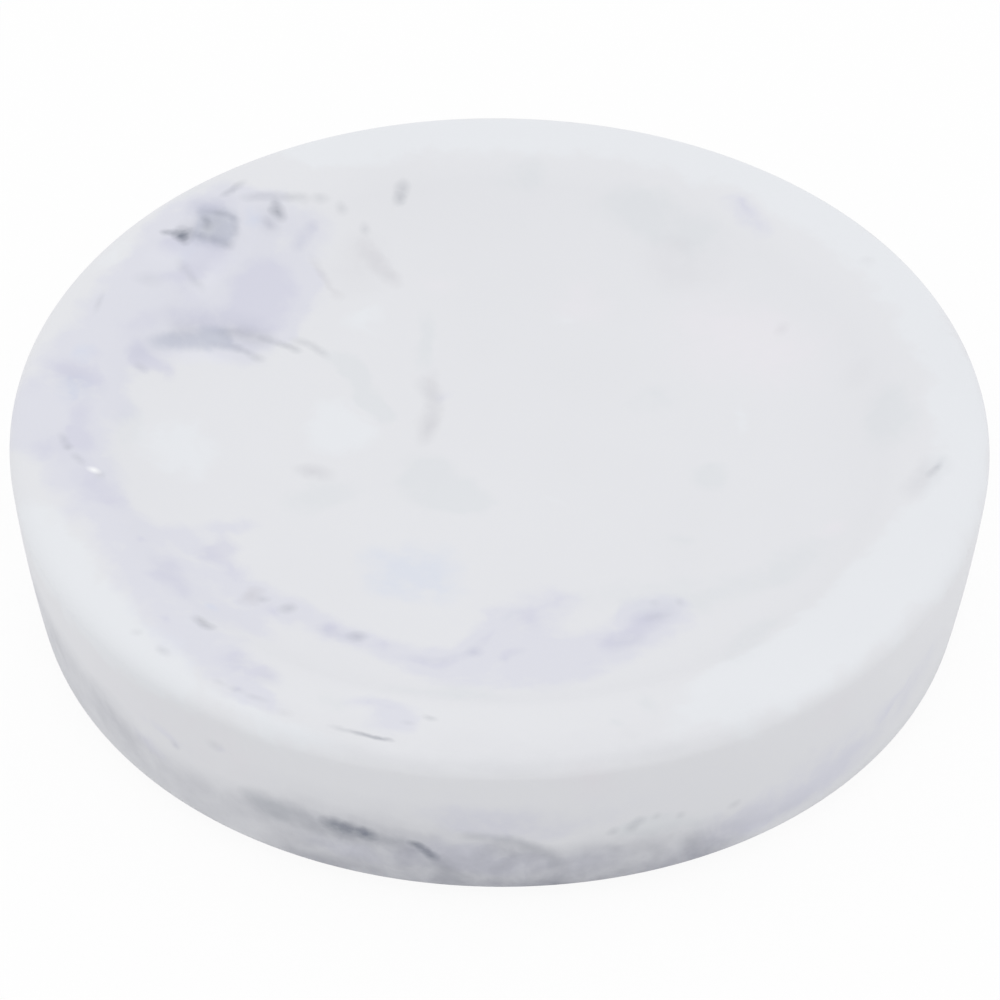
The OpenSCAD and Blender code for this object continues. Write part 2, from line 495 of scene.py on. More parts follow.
        (1.8, 0.1, (-27.2, 35.6), (-26.6, 34.2)),
        (1.6, 0.09, (-27.2, 37.4), (-26.8, 36)),
        (1.8, 0.06, (-37.2, 17.9), (-36.4, 18.2), (-35.6, 18.4), (-34.8, 18.7), (-34, 18.9)),
        (2, 0.11, (-31.6, 19.2), (-30.9, 19.1), (-30.2, 19), (-29.5, 19), (-28.9, 19)),
        (2, 0.12, (-28.9, 19), (-28.2, 18.9), (-27.5, 18.8), (-26.8, 18.6), (-26.2, 18.4)),
        (2.4, 0.1, (45.2, -10.8), (46.6, -9.2), (47.8, -7.6), (49, -5.4)),
    ],
    "indigo": [
        (1.8, 0.28, (-35.8, 36.2), (-34.2, 36.8), (-32.6, 36.8)),
        (0.8, 0.26, (-35, 31.7), (-34, 31.5)),
        (1.2, 0.14, (-36.3, 36.2), (-35.9, 34.8)),
        (2.2, 0.15, (-38.8, 30.4), (-35, 30), (-31, 30.2)),
        (2, 0.18, (-35.4, 37.2), (-33, 37.6), (-31, 37.2)),
        (1.6, 0.24, (-31, 17.6), (-29.2, 17.4), (-27.8, 16.6)),
        (2.8, 0.14, (-37.5, 19.2), (-35, 20.4), (-32, 20.8), (-29, 20.3), (-26.8, 19.5)),
        (1.8, 0.16, (-41.4, 12), (-40.4, 13.4), (-39.4, 14.6)),
        (3.4, 0.2, (-49.4, 7.6), (-47.6, 6.4), (-46.6, 4)),
        (2.2, 0.08, (-32.4, -17), (-31.2, -19.4)),
        (2.6, 0.06, (-36.6, -20.8), (-35.8, -25)),
        (1.8, 0.14, (-28.8, -38.2), (-27, -39.2)),
        (1.8, 0.12, (-25.4, -40.4), (-23.8, -41.6)),
        (1.5, 0.26, (-19.2, -29.2), (-17.8, -30.2)),
        (1.5, 0.2, (-17.8, -30.2), (-16, -30.9), (-14.4, -30.6)),
        (1.2, 0.3, (-3.4, -32.9), (-2, -32.4)),
        (1, 0.14, (-9.6, -34), (-6, -34.5), (-3.4, -33.1), (-1.6, -30.6)),
        (2.4, 0.08, (2, -27.8), (3.8, -26.4)),
        (0.9, 0.1, (0.4, -34.2), (1.5, -33.1), (2.7, -32.3)),
        (2.2, 0.2, (15.4, -28.2), (17, -26.6), (19, -25.8)),
        (1.9, 0.24, (12, -31.6), (13.8, -30.9), (15.4, -29.6)),
        (1.6, 0.24, (-27.1, 35.7), (-26.5, 34.3)),
        (2.2, 0.06, (-29.2, 36.2), (-28, 34.4)),
        (1.2, 0.28, (-22.3, 36.3), (-21.6, 35.8)),
        (1.3, 0.2, (-22.4, 35.2), (-23.3, 34), (-23.8, 32.7)),
    ],
    "milk": [
        (1.6, 0.36, (-37, 13.8), (-35, 14.5), (-32.6, 14.9), (-30.6, 14.6)),
        (1.6, 0.4, (-29.8, 31.7), (-32.4, 27.7), (-35, 23.7)),
        (2.4, 0.3, (-33, 29.8), (-36, 29.4), (-39.5, 27.4)),
    ],
    "painted_glint": [
        # Not pigment: a painted glint, a near-white highlight on a tiny bubble.
        (0.7, 0.9, (-45.4, -8), (-44.4, -8.2)),
    ],
    "slick": [
        (2.6, 0.45, (-35.2, 35.9), (-34, 36), (-32.8, 35.8), (-31.6, 35.4), (-30.4, 34.9)),
        (2.6, 0.45, (-35.2, 33.9), (-34, 33.8), (-32.8, 33.6), (-31.6, 33.3), (-30.4, 32.9)),
        (2.6, 0.45, (-35.8, 31.9), (-34.6, 31.7), (-33.4, 31.6), (-32.2, 31.6), (-31.2, 31.7)),
        (2.4, 0.18, (-40.6, 14.2), (-39.9, 14.8), (-39.2, 15.2)),
        (2.6, 0.27, (-39.2, 15.2), (-38.5, 15.5), (-37.8, 15.9)),
        (2.8, 0.36, (-37.8, 15.8), (-37.1, 16.1), (-36.3, 16.5)),
        (2.8, 0.4, (-36.3, 16.5), (-35.4, 16.9), (-34.5, 17.2), (-33.6, 17.4)),
        (2.8, 0.4, (-33.6, 17.4), (-32.7, 17.5), (-31.8, 17.4)),
        (1.8, 0.36, (-31.8, 17.3), (-31.2, 17.2), (-30.6, 17), (-30, 16.7), (-29.5, 16.4)),
        (2.2, 0.27, (-34, 18.7), (-33.3, 19), (-32.6, 19.2), (-31.9, 19.3)),
        (2.2, 0.27, (-31.9, 19.3), (-31.2, 19.4), (-30.5, 19.4)),
    ],
    "slate": [
        (0.8, 0.4, (-39, 32.3), (-38.2, 32.3), (-37.4, 32.1)),
        (1.3, 0.8, (-37.4, 31.8), (-36.3, 31.4)),
        (1.3, 0.5, (-36.8, 31.4), (-35.8, 30.8)),
        (1.1, 0.4, (-37.4, 32.5), (-35.9, 32.6)),
        (0.9, 0.24, (-36.2, 32.4), (-35.2, 32.4)),
        (0.9, 0.22, (-36, 31.7), (-35.2, 31.8), (-34.2, 31.6)),
        (0.9, 0.2, (-34.4, 31.6), (-33.2, 31.3), (-32, 31.1), (-31, 31)),
        (1, 0.12, (-34.8, 36), (-33.4, 35.8), (-32.2, 35.6)),
        (0.8, 0.2, (-33, 35.7), (-31.8, 35.5), (-30.8, 35)),
        (0.8, 0.12, (-30.8, 35), (-30.7, 33.8), (-30.8, 32.4)),
        (0.8, 0.36, (-34.2, 34.9), (-33.9, 34), (-33.7, 32.8)),
        (0.8, 0.26, (-32.2, 38.9), (-31, 40), (-30, 41.2)),
        (1.1, 0.2, (-29.6, 38.4), (-27.4, 38.8), (-25, 39)),
        (1, 0.16, (-25, 39), (-23.7, 39.1), (-22.6, 39.3)),
        (0.9, 0.17, (-21.9, 39.4), (-20.5, 39.6)),
        (1, 0.17, (-18.8, 39.2), (-18.4, 38.2)),
        (0.8, 0.16, (-16, 37), (-15.7, 35.7)),
        (0.8, 0.16, (-26.3, 38.5), (-25.9, 37.7)),
        (1.2, 0.62, (-26.3, 37.6), (-25.6, 36.2)),
        (1, 0.16, (-27.2, 35.6), (-26.6, 34.6)),
        (1, 0.13, (-37, 27.2), (-35.6, 25.9), (-34.4, 24.7)),
        (1.1, 0.3, (-12.2, 40.2), (-11.9, 41.2), (-11.4, 42.6)),
        (1.5, 0.1, (-41.5, 24.3), (-39.3, 24.1)),
        (0.9, 0.08, (-32.6, 18.9), (-30.6, 19.3), (-28.8, 19.3), (-27.4, 18.9)),
        (0.9, 0.18, (-27.4, 18.9), (-26.2, 18.6), (-25.2, 18.2)),
        (0.9, 0.26, (-25.2, 18.2), (-24.1, 17.7), (-23, 17)),
        (0.7, 0.08, (-33, 16.7), (-31.6, 16.9), (-30.4, 16.9)),
        (0.9, 0.2, (-30.4, 16.9), (-29.1, 16.3), (-27.9, 15.7), (-27, 15.2)),
        (0.9, 0.18, (-23.4, 18.8), (-22.1, 18.4), (-21, 17.6), (-19.8, 16.5)),
        (0.9, 0.14, (-41, 10.9), (-40, 10.6)),
        (0.8, 0.18, (-48.8, -3), (-48.1, -4.6), (-47.6, -5.2)),
        (0.8, 0.18, (-47.2, -6.1), (-46.2, -7.2)),
        (1, 0.2, (-25.9, -24.8), (-25.5, -25.3)),
        (1.4, 0.28, (-23.2, -25.9), (-22.6, -26.8)),
        (1.2, 0.26, (-15.9, -30.8), (-14.6, -30.4)),
        (1, 0.33, (-32.6, -31.4), (-31.8, -32.4), (-31, -33.3)),
        (0.9, 0.1, (16.4, -27), (18.4, -26.6)),
        (0.8, 0.08, (16.9, -24), (17.4, -24.6)),
        (0.6, 0.1, (19.7, -24), (20, -24.9)),
        (0.8, 0.18, (-36.5, -37.1), (-35.6, -38.1)),
        (0.9, 0.1, (-39.4, -34.4), (-38.6, -34.6)),
        (0.6, 0.1, (-30.2, -41.7), (-29.2, -42.3)),
        (0.6, 0.13, (-28.4, -42.8), (-27.2, -43.4)),
        (0.6, 0.13, (-26.5, -44.1), (-24.9, -45)),
        (0.6, 0.08, (-23.2, -46.6), (-22.2, -47.2)),
        (0.5, 0.16, (-17.4, -48.7), (-15.8, -49.3), (-14.4, -49.8)),
        (0.45, 0.48, (-14.8, -49.7), (-13, -50.3), (-11.4, -50.8)),
        (0.6, 0.24, (-7.6, -47), (-6.5, -47.5)),
        (0.5, 0.12, (-10, -48.1), (-8.9, -48.2)),
        (0.6, 0.22, (47.7, -8), (48.5, -7), (49, -6.2)),
        (0.8, 0.08, (48.8, -6.2), (49.2, -5)),
        (0.6, 0.14, (-45.4, 21), (-45.8, 18.5)),
    ],
}
print("trails on top:", {kind: len(rows) for kind, rows in TOP_TRAILS.items()})

# %% Trails of pigment on the wall
WALL_TRAILS = {
    "rose": [
        (9, 0.4, (-58, 13), (-46, 14), (-34, 14), (-26, 14)),
        (5, 0.7, (7, 18), (13, 17)),
        (5, 0.6, (38, 18), (42, 14)),
    ],
    "cool_and_lip_shade": [
        (3, 0.9, (-28, 8.3), (-24, 7.3)),
        (3, 0.8, (13, 8.5), (17, 9), (24, 7)),
    ],
    "haze": [
        (6.5, 0.5, (32, 9.4), (42, 8.4), (52, 8.6), (62, 11)),
        (9, 0.36, (-14, 13), (-2, 12.6), (12, 13), (26, 13.4)),
        (5, 0.9, (24, 5), (34, 4), (46, 4)),
        (4, 0.9, (-9, 6), (-2, 5), (6, 4)),
        (3.5, 0.8, (-22, 4.5), (-12, 4)),
        (6, 0.8, (74, 6), (86, 7), (98, 9)),
        (4.5, 0.8, (98, 9), (112, 13), (124, 17)),
        (8, 0.9, (-168, 8), (-156, 11), (-144, 13), (-134, 17)),
        (7, 0.8, (-120, 11), (-108, 12), (-94, 11)),
        (5, 0.8, (134, 8), (146, 6), (160, 7)),
        (2, 0.6, (-44, 11.6), (-36, 11.9)),
        (4, 0.6, (-4, 12), (6, 11)),
    ],
    "violet": [
        (2, 0.6, (48, 7), (56, 12)),
        (1.2, 0.8, (-39, 11), (-38, 10.4)),
        (1.2, 0.7, (-33, 14.4), (-31.5, 14.8)),
        (1.6, 0.5, (36, 12), (38, 11.6)),
        (2.4, 0.8, (-46, 8.2), (-40, 7)),
        (2.6, 0.8, (-152, 10), (-146, 12.6), (-142, 12)),
        (2.4, 0.8, (-112, 11), (-106, 9.6), (-100, 10)),
        (2.2, 0.8, (106, 10), (112, 12), (117, 12.4)),
    ],
    "smoke_and_painted_shade": [
        # The smoke rows on the wall darken its lower part, and most of all a band about a
        # millimetre above the foot, all round. This is partly the grey of the lower pour and
        # partly painted shade where the wall meets the counter.
        (4.5, 0.2, (-73, 2), (-63, 2), (-53, 2)),
        (5, 0.27, (-73, 9.2), (-63, 8.2), (-53, 7.4), (-46, 7)),
        (3.6, 0.12, (-72, 4.6), (-60, 4.6)),
        (4, 0.17, (-52, 1.5), (-44, 1.5), (-36, 1.5), (-28, 2)),
        (4.2, 0.2, (-52, 5.5), (-44, 5), (-36, 5.6), (-28, 6.6)),
        (5, 0.1, (-37, 3.6), (-31, 4.2), (-25, 5.4)),
        (4, 0.38, (-26, 1.2), (-17, 1.2), (-11, 1.2)),
        (4.4, 0.54, (-11, 1.2), (-4, 1), (4, 0.8), (10, 0.6)),
        (4.2, 0.34, (-28, 6.6), (-20, 6.6)),
        (4.2, 0.46, (-20, 6.6), (-12, 6.2), (-6, 5.6)),
        (2.6, 0.15, (-24, 10), (-17, 9.6), (-10, 9.2), (-4, 8.6), (3, 7.6)),
        (3.6, 0.4, (-6, 5), (0, 5.6), (6, 4.8), (12, 4.6)),
        (4, 0.07, (-26, 11.4), (-14, 11.2), (-4, 11.6), (8, 11.4)),
        # This row is painted shade: a faint dark line along the rim's rounding in front.
        (1.1, 0.07, (-26, 20.4), (-12, 20.4), (2, 20.4), (16, 20.4), (30, 20.4)),
        (3.4, 0.42, (9, 1), (15, 0.6), (22, 0.4), (29, 0.2)),
        (3.2, 0.32, (12, 4.4), (17, 3.8), (23, 3.2), (28, 2.6)),
        (2.8, 0.18, (10, 7), (16, 6.4), (24, 5.6)),
        (2.8, 0.12, (25, 5.6), (33, 5)),
        (3, 0.06, (-4, 2.6), (4, 2.4)),
        (2.8, 0.12, (-2, 7.8), (1.4, 7), (4.6, 5.8)),
        (4.2, 0.3, (-96, 1), (-86, 1.4), (-76, 1.6)),
        (4, 0.34, (-166, 1), (-156, 0.8), (-146, 1.2)),
        (3.6, 0.26, (-158, 5), (-150, 5.4), (-142, 4.6)),
        (3.4, 0.22, (98, 4), (108, 5.4), (118, 5)),
    ],
    "indigo": [
        (3.2, 0.12, (20, 2), (29, 2.6), (38, 3.4)),
        (4, 0.09, (36, 4), (44, 5.6), (52, 6.6), (60, 9)),
        (3, 0.16, (7, 4), (13, 4.4)),
    ],
    "slate": [
        (2.6, 0.28, (-28.4, 8.5), (-25, 8.1), (-21.6, 7.6), (-19, 7.3)),
        (1.5, 0.82, (-19.2, 8.4), (-17, 8.1), (-15.2, 7.9), (-13.8, 7.4)),
        (1.2, 0.4, (-18.4, 6.9), (-15.8, 6.6)),
        (1.4, 0.34, (-14.2, 7.1), (-12.1, 7), (-10, 7.1)),
        (0.9, 0.75, (-9.4, 7.4), (-8.4, 6.8), (-7.5, 5.9), (-6.7, 5)),
        (1.8, 0.24, (-6.7, 5), (-5.8, 3.2), (-5.2, 1.4)),
        (1, 0.2, (-3.6, 9.3), (-1.8, 9.5), (0, 9.2)),
        (1.3, 0.27, (0, 9.1), (1.4, 8.7), (3, 7.9), (4.6, 7.2)),
        (1.3, 0.22, (4.6, 7.2), (5.9, 6.3), (6.8, 4.9), (7.2, 3.2)),
        (0.9, 0.18, (12.7, 9.2), (13.1, 8.5)),
        (1.1, 0.2, (14.6, 8.6), (15.4, 9.3), (16.2, 10.2)),
        (0.8, 0.14, (17.6, 10.4), (18.2, 9.8)),
        (0.7, 0.16, (20.5, 9.6), (21.1, 8.9)),
        (0.9, 0.16, (26.8, 8), (27.8, 8.4)),
        (1.6, 0.2, (21.4, 4.9), (22.6, 3.6), (23.4, 2.5)),
        (1.4, 0.14, (17.9, 5.4), (18.6, 4), (19, 2.6)),
        (1.8, 0.07, (28, 4), (32, 3), (37, 2.6)),
        (1, 0.14, (-38.9, 10.9), (-38, 10.4)),
        (1, 0.12, (-33.2, 14.4), (-31.6, 14.8)),
        (1.3, 0.26, (103, 7.4), (107, 8.6), (111, 9.2)),
        (0.9, 0.2, (111, 9.2), (116, 9.6), (121, 8.6)),
        (0.8, 0.16, (138, 11.6), (143, 10.8), (149, 11)),
        (1.2, 0.26, (-110, 7.6), (-105, 8.6), (-100, 8.6)),
        (0.8, 0.18, (-100, 8.6), (-95, 7.8), (-91, 6.4)),
        (1.4, 0.34, (-160, 6.8), (-155, 7.4), (-151, 7.2)),
        (1, 0.22, (-151, 7.2), (-146, 6.6), (-142, 5)),
        (0.7, 0.18, (-158, 9.4), (-154, 10.2)),
    ],
}
print("trails on the wall:", {kind: len(rows) for kind, rows in WALL_TRAILS.items()})

# %% Trails of pigment under the base
BASE_TRAILS = {
    "haze": [
        (9, 0.9, (-44, -16), (-30, -10), (-14, -16), (2, -12)),
        (8, 0.8, (10, 34), (22, 24), (26, 10)),
    ],
    "violet": [
        (4, 0.8, (-34, -16), (-24, -13), (-14, -17)),
        (3, 0.8, (18, 28), (24, 20)),
    ],
    "smoke_and_painted_shade": [
        (6, 0.36, (-22, -48), (-10, -44), (4, -45), (18, -46)),
        (4, 0.26, (-10, -44), (-2, -34), (8, -28)),
    ],
    "slate": [
        (1, 0.36, (-6, -40), (0, -33), (7, -29)),
        (0.8, 0.24, (7, -29), (13, -27), (19, -28)),
        (0.7, 0.2, (1, -35), (5, -36), (9, -35.4)),
        (0.8, 0.28, (-30, -12), (-25, -9.6), (-19, -10)),
        (0.9, 0.24, (20, 25), (22, 20), (22.6, 15)),
    ],
}
print("trails under the base:", {kind: len(rows) for kind, rows in BASE_TRAILS.items()})

# %% [markdown]
# A trail becomes nodes in three steps. Its points are put on the casting's surface. Each
# stretch between two of them becomes a drawn-out ball of colour: a spherical Gradient in a
# frame of its own, which fades from one in its middle to nothing at its skin. Then the balls
# are added up. A ball reaches the middles of its neighbours, so that a row of them makes an
# even ribbon. The balls are solid, not painted on, so a trail runs on over the rim as pigment
# in a casting does.

# %% Where a trail lies on the casting


def surface_height(radius):
    """Height of the upper surface at a radius, read from the section."""
    for (r0, z0), (r1, z1) in zip(section, section[1:]):
        if r0 <= radius < r1:
            return z0 + (z1 - z0) * (radius - r0) / (r1 - r0)
    return RIM_Z - RIM_EDGE_R


def on_top(point):
    """A point of a trail on top, in space, and the way that the surface faces there."""
    x, y = point
    return Vector((x, y, surface_height(math.hypot(x, y)))), Vector((0, 0, 1))


def on_wall(point):
    """A point of a trail on the wall, in space, and the way that the surface faces there."""
    round_front, up_foot = point
    angle = round_front / OUTER_R
    height = BASE_Z + up_foot
    middle = wall_centre()
    radius = middle.x + math.sqrt(WALL_BOW_R**2 - (height - middle.y) ** 2)
    out = Vector((math.sin(angle), -math.cos(angle), 0))
    return out * radius + Vector((0, 0, height)), out


def on_base(point):
    """A point of a trail under the base, in space, and the way that the surface faces there."""
    return Vector((*point, BASE_Z)), Vector((0, 0, -1))


foot_front, _ = on_wall((0, 0))
print("the wall's foot in front:", [round(v, 1) for v in foot_front], "mm")

# %% Turn trails into balls of colour
TRAIL_DEPTH = 7
TRAIL_TABLES = ((TOP_TRAILS, on_top), (WALL_TRAILS, on_wall), (BASE_TRAILS, on_base))


def lay_stretch(tree, place, ends, width, strength, so_far):
    """Adds one ball between two ends to the colour so far, and returns the sum."""
    (start, out), (end, _) = ends
    along = (end - start).normalized()
    across = out.cross(along).normalized()
    turn = Matrix((along, across, along.cross(across))).transposed().to_euler()
    length = (end - start).length
    reach = Vector((max(length, (length + width) / 2), width, max(width, TRAIL_DEPTH)))
    ball = add(tree, "ShaderNodeTexGradient", {"Vector": place}, gradient_type="SPHERICAL")
    ball.texture_mapping.vector_type = "TEXTURE"
    ball.texture_mapping.translation = (start + end) / 2
    ball.texture_mapping.rotation = turn
    ball.texture_mapping.scale = reach
    terms = (ball.outputs["Fac"], strength, so_far)
    return add(tree, "ShaderNodeMath", terms, operation="MULTIPLY_ADD")


def lay_trails(tree, place, kind):
    """All trails of one kind, pigment or painted light and shade, on every side, as one strength.
    """
    total = 0.0
    for table, put in TRAIL_TABLES:
        for width, strength, *run in table.get(kind, []):
            spots = [put(point) for point in run]
            for ends in zip(spots, spots[1:]):
                total = lay_stretch(tree, place, ends, width, strength, total)
    return total


rows = [row for table, _ in TRAIL_TABLES for trails in table.values() for row in trails]
print(f"{len(rows)} trails, in {sum(len(run) - 1 for _, _, *run in rows)} stretches")

# %% [markdown]
# The dish is unsaturated polyester resin, filled with so much white stone powder that hardly
# any light gets through. So its body is one pale, faintly blue white, and the marbling is
# colour in the resin, not a film on it. Each pigment has its colour, the most of the white
# that it can cover, the strengths at which it starts and is full, and the place that carries
# it. The pale hazes cover less than half and drift far, as thin paste does in wet resin. Slate
# and smoke are stiff paste: they cover all of the white and only tear at their edges. Some
# rows of chalk, cool and smoke, and the near-white speck, are painted light and shade laid the
# same way.

# %% Colours of the resin and its pigments
RESIN_WHITE = "#E5E6EA"
RESIN_SHADE = "#E1E2E6"
PIGMENTS = {
    # chalk: white pigment in the blobs, and painted light in the band along the rim.
    "chalk_and_rim_light": ("#F0F7FC", 0.20, 0.3, 0.7, "adrift"),
    "pink": ("#F0E8F0", 0.24, 0.1, 0.9, "adrift"),
    "rose": ("#E0D2DC", 0.16, 0.1, 0.9, "adrift"),
    # cool: grey-green pigment, and painted shade in the ring on the lip.
    "cool_and_lip_shade": ("#CDD5D9", 0.20, 0.2, 0.7, "adrift"),
    "haze": ("#CDCEE2", 0.34, 0.2, 0.8, "adrift"),
    "violet": ("#C9C9DD", 0.42, 0.2, 1.0, "adrift"),
    "blue": ("#CBD5EB", 0.34, 0.2, 0.8, "adrift"),
    "warm": ("#BDBBC2", 0.42, 0.0, 1.0, "adrift"),
    "milk": ("#E6E7F0", 1.00, 0.0, 1.0, "torn"),
    # The near-white speck is a painted glint, a highlight on a tiny bubble.
    "painted_glint": ("#FCFDFE", 1.00, 0.0, 1.0, "still"),
    "slick": ("#8C96B0", 0.36, 0.15, 0.85, "bent"),
    "smoke_and_painted_shade": ("#8C8E9B", 1.00, 0.0, 1.0, "torn"),
    "indigo": ("#B3B5CC", 1.00, 0.0, 1.0, "torn"),
    "slate": ("#7C818F", 1.00, 0.0, 1.0, "torn"),
}

print("pigments, in the order in which they are laid:", ", ".join(PIGMENTS))

# %% [markdown]
# Wet resin moves the pigment after it is laid. Noise does the same here: it shifts the place
# that the balls are read at, which turns smooth balls into torn, feathery ones. Each row of
# the table starts from one place and moves it by waves of one size, up to about one reach,
# both in millimetres. The last number says how many times finer waves are added to the first.

# %% Noise that moves the pigment
SHIFTS = {
    "bent": ("still", 7, 0.5, 1.0),
    "torn": ("bent", 1.6, 0.3, 2.0),
    "folded": ("still", 6, 1.5, 1.0),
    "adrift": ("folded", 2.2, 0.7, 3.0),
}
FINER_SHARE = 0.55
NOISE_MIDDLE = 0.5


def waves(place, size, detail, finer_share=FINER_SHARE):
    """Inputs of a noise whose largest waves have a given size in millimetres."""
    return {"Vector": place, "Scale": 1 / size, "Detail": detail, "Roughness": finer_share}


def in_millimetres(tree):
    """The place on the piece, in millimetres from the frame's origin."""
    here = add(tree, "ShaderNodeTexCoord").outputs["Object"]
    return add(tree, "ShaderNodeVectorMath", {0: here, "Scale": 1 / MM}, operation="SCALE")


def moved_places(tree, place):
    """The place as it is, and each of its shifted versions, by name."""
    places = {"still": place}
    for name, (start, size, reach, detail) in SHIFTS.items():
        wave = add(tree, "ShaderNodeTexNoise", waves(places[start], size, detail))
        centred = (wave.outputs["Color"], (NOISE_MIDDLE,) * 3)
        centred = add(tree, "ShaderNodeVectorMath", centred, operation="SUBTRACT")
        moved = (centred, (2 * reach,) * 3, places[start])
        places[name] = add(tree, "ShaderNodeVectorMath", moved, operation="MULTIPLY_ADD")
    return places


print("reach of each shift in mm:", {name: reach for name, (_, _, reach, _) in SHIFTS.items()})

# %% [markdown]
# A second kind of noise doesn't move the pigment, but thins and thickens it: in soft patches
# for the pastes, and in fine strokes for slate, as the stick drags it. Strokes are noise read
# at a place that is drawn out along one direction. Then the pigments go over the white one
# after the other, and those that start above nothing fade in softly.

# %% Lay the pigments in the resin
NOISE_SPAN = (0.3, 0.7)
THICKNESS = (3.5, 3.0)
THICKNESS_SHARES = (0.65, 1.25)
STREAKS = (1.1, 4.0, 0.6)
STREAK_SHARES = (0.8, 1.2)
STREAK_PULL = 4.0
STREAK_TURN = math.radians(18)


def drawn_out(place, turn, length):
    """Inputs of a mapping that draws a pattern out along one direction."""
    return {"Vector": place, "Rotation": (0, 0, turn), "Scale": (length, 1, 1)}


def marbled_colour(tree, places, clouds):
    """The white resin with every pigment, and the painted light and shade in some of its rows,
    over it, in the order of the table.
    """
    soft = add(tree, "ShaderNodeTexNoise", waves(places["adrift"], *THICKNESS))
    soft = add(tree, "ShaderNodeMapRange", (soft, *NOISE_SPAN, *THICKNESS_SHARES))
    pulled = drawn_out(places["torn"], STREAK_TURN, STREAK_PULL)
    pulled = add(tree, "ShaderNodeMapping", pulled, vector_type="TEXTURE")
    streaks = add(tree, "ShaderNodeTexNoise", waves(pulled, *STREAKS))
    streaks = add(tree, "ShaderNodeMapRange", (streaks, *NOISE_SPAN, *STREAK_SHARES))
    whites = {"Factor": clouds, "A": linear(RESIN_WHITE), "B": linear(RESIN_SHADE)}
    shade = add(tree, "ShaderNodeMix", whites, data_type="RGBA")
    for kind, (tint, cover, start, full, carrier) in PIGMENTS.items():
        laid = (lay_trails(tree, places[carrier], kind), streaks if kind == "slate" else soft)
        laid = add(tree, "ShaderNodeMath", laid, operation="MULTIPLY")
        ends = (laid, start, full, 0, cover)
        edge = "SMOOTHSTEP" if start > 0 else "LINEAR"
        share = add(tree, "ShaderNodeMapRange", ends, interpolation_type=edge)
        over = {"Factor": share, "A": shade, "B": linear(tint)}
        shade = add(tree, "ShaderNodeMix", over, data_type="RGBA")
    return shade


print("thickness shares:", THICKNESS_SHARES, "and streak shares:", STREAK_SHARES)

# %% [markdown]
# Two surfaces meet at the foot. The skin that the silicone mould left is satin: it shows no
# highlight with an edge, but a soft sheen, so its roughness is about 0.4. The underside was
# the open face of the mould and was sanded flat on a belt, so it is matt, with fine strokes
# that all run one way. Polyester's IOR is about 1.55. The strokes are half a millimetre wide,
# which is coarser than a real grit leaves, so that they show.

# %% Cast polyester resin, satin from its mould and sanded under its base
POLYESTER_IOR = 1.55
CLOUDS = (24, 3.0)
SKIN = (1.4, 3.0)
RELIEF = 0.012
RELIEF_SHARE = 0.5
SATIN_SPAN = (0.35, 0.65)
SATIN_ROUGHNESS = (0.38, 0.46)
GROUND_REACH = 0.3
SANDING = (0.5, 2.0)
SANDING_TURN = math.radians(35)
SANDING_LENGTH = 30
SANDED_ROUGHNESS = (0.5, 0.7)


def resin(tree):
    """Stone-filled polyester, marbled, with its moulded skin and its sanded base."""
    place = in_millimetres(tree)
    places = moved_places(tree, place)
    clouds = add(tree, "ShaderNodeTexNoise", waves(places["torn"], *CLOUDS))
    height = add(tree, "ShaderNodeSeparateXYZ", (place,)).outputs["Z"]
    ground = add(tree, "ShaderNodeMapRange", (height, BASE_Z, BASE_Z + GROUND_REACH, 1, 0))
    skin = add(tree, "ShaderNodeTexNoise", waves(place, *SKIN))
    strokes = drawn_out(place, SANDING_TURN, SANDING_LENGTH)
    strokes = add(tree, "ShaderNodeMapping", strokes, vector_type="TEXTURE")
    sanded = add(tree, "ShaderNodeTexNoise", waves(strokes, *SANDING))
    relief = add(tree, "ShaderNodeMix", {"Factor": ground, "A": skin, "B": sanded})
    bump = {"Height": relief, "Strength": RELIEF_SHARE, "Distance": RELIEF * MM}
    satin = add(tree, "ShaderNodeMapRange", (clouds, *SATIN_SPAN, *SATIN_ROUGHNESS))
    matt = add(tree, "ShaderNodeMapRange", (sanded, *NOISE_SPAN, *SANDED_ROUGHNESS))
    inputs = {
        "Base Color": marbled_colour(tree, places, clouds),
        "Roughness": add(tree, "ShaderNodeMix", {"Factor": ground, "A": satin, "B": matt}),
        "IOR": POLYESTER_IOR,
        "Normal": add(tree, "ShaderNodeBump", bump),
    }
    return add(tree, "ShaderNodeBsdfPrincipled", inputs)


casting.data.materials.append(made_of("cast_polyester_resin", resin))

# %% [markdown]
# The dish stands on four stick-on bumpers, the clear kind that comes on a sheet. Each is a
# disc of soft polyurethane, 10 mm across, moulded with a rounded lower edge and a shallow
# dimple in the face that meets the counter, where the material shrank as it set. They are
# turned like the casting, from a section of a few arcs, at the places that the CAD gives.

# %% Section of a bumper
BUMPER_EDGE_R = 0.4
BUMPER_TOP_R = 0.12
BUMPER_DRAFT = 0.06
DIMPLE_R = 2.4
DIMPLE_DEPTH = 0.12
FACE_STEPS = 6
TOP_STEPS = 4
EDGE_STEPS = 8
RING_STEPS = 4
DIMPLE_STEPS = 8


def bumper_section(radius, low, high):
    """A bumper's half section, from the middle of its upper face round to its dimple."""
    up = math.pi / 2
    top = (radius - BUMPER_DRAFT - BUMPER_TOP_R, high - BUMPER_TOP_R)
    edge = (radius - BUMPER_EDGE_R, low + BUMPER_EDGE_R)
    points = [(0, high)] + straight((0, high), (top[0], high), FACE_STEPS)
    points += arc(top, BUMPER_TOP_R, up, 0, TOP_STEPS)
    points += arc(edge, BUMPER_EDGE_R, 0, -up, EDGE_STEPS)
    points += straight((edge[0], low), (DIMPLE_R, low), RING_STEPS)
    for step in range(DIMPLE_STEPS + 1):
        share = 1 - step / DIMPLE_STEPS
        rise = (1 + math.cos(math.pi * share)) / 2 * DIMPLE_DEPTH
        points.append((DIMPLE_R * share, low + rise))
    return points


print(f"dimple: {2 * DIMPLE_R} mm across and {DIMPLE_DEPTH} mm deep")

